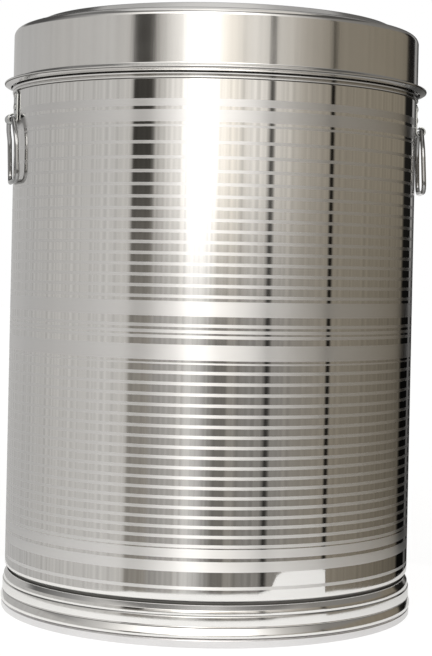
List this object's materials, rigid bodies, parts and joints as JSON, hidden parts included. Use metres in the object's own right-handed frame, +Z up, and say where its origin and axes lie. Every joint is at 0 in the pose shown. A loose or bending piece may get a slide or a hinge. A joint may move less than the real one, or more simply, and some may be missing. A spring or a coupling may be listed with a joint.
{
  "type": "milk can",
  "caption": "Straight-sided stainless-steel milk can with a deep lift-off cap lid, a beaded base band and swinging wire side handles.",
  "frame": {"origin": "centre of the foot, on the surface the can stands on", "axes": "+Z up along the can's axis; -Y is the front, and the handles stand at -X and +X, both turned 8 degrees towards the front"},
  "size_m": [0.3163, 0.3156, 0.432],
  "materials": {
    "polished_steel": "mirror polished with satin rings",
    "lid_steel": "polished with fine upright buffing marks",
    "base_steel": "polished",
    "inner_steel": "satin mill finish",
    "wire_steel": "drawn and polished wire",
    "clip_steel": "polished sheet with sheared edges",
    "rivet_steel": "satin, a little darker than the sheet"
  },
  "bodies": {
    "can": {"body_wall": "polished_steel", "bottom_disc": "inner_steel", "base_band": "base_steel", "foot_wire": "wire_steel", "mouth_wire": "wire_steel", "left_handle_clip": "clip_steel", "left_backing_plate": "inner_steel", "left_rivet_upper": "rivet_steel", "left_rivet_lower": "rivet_steel", "right_handle_clip": "clip_steel", "right_backing_plate": "inner_steel", "right_rivet_upper": "rivet_steel", "right_rivet_lower": "rivet_steel"},
    "lid": {"lid_shell": "lid_steel"},
    "left_handle": {"left_handle_wire": "wire_steel"},
    "right_handle": {"right_handle_wire": "wire_steel"}
  },
  "joints": [
    {"name": "lid_lift", "type": "slide", "parent": "can", "child": "lid", "axis": [0, 0, 1], "range_m": [0, 0.12]},
    {"name": "left_handle_swing", "type": "hinge", "parent": "can", "child": "left_handle", "pos_m": [-0.1526, -0.02145, 0.3575], "axis": [-0.1392, 0.9903, 0], "range_deg": [0, 165]},
    {"name": "right_handle_swing", "type": "hinge", "parent": "can", "child": "right_handle", "pos_m": [0.1526, -0.02145, 0.3575], "axis": [-0.1392, -0.9903, 0], "range_deg": [0, 165]}
  ]
}
